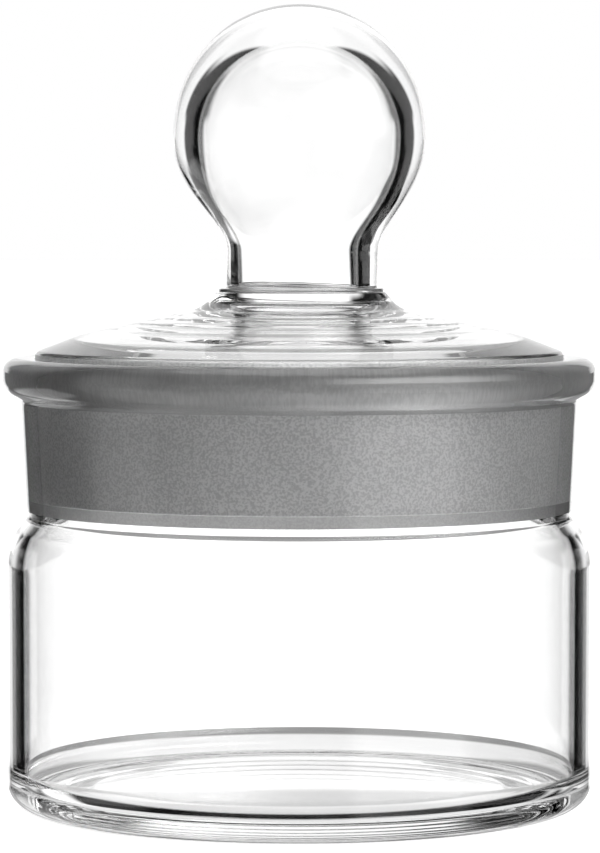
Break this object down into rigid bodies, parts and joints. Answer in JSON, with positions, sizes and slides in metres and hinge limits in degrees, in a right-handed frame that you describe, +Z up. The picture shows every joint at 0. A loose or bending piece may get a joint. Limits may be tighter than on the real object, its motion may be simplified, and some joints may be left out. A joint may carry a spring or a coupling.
{
  "type": "weighing bottle",
  "caption": "Low-form weighing bottle in clear glass: squat body with a beaded rim, closed by a hollow domed stopper with a ground taper and a hollow bulb knob.",
  "frame": {"origin": "centre of the base, on the plane of the foot ring that the bottle stands on", "axes": "+Z up along the axis of the bottle and of the stopper; X and Y lie in the standing plane and are alike, because every piece is round"},
  "size_m": [0.0506, 0.0506, 0.0683],
  "materials": {
    "clear_glass": "gloss",
    "ground_glass": "satin"
  },
  "bodies": {
    "bottle": {"bottle": "clear_glass"},
    "stopper": {"lid": "ground_glass", "knob": "clear_glass"}
  },
  "joints": [
    {"name": "stopper_lift", "type": "slide", "parent": "bottle", "child": "stopper", "axis": [0, 0, 1], "range_m": [0, 0.03]}
  ]
}
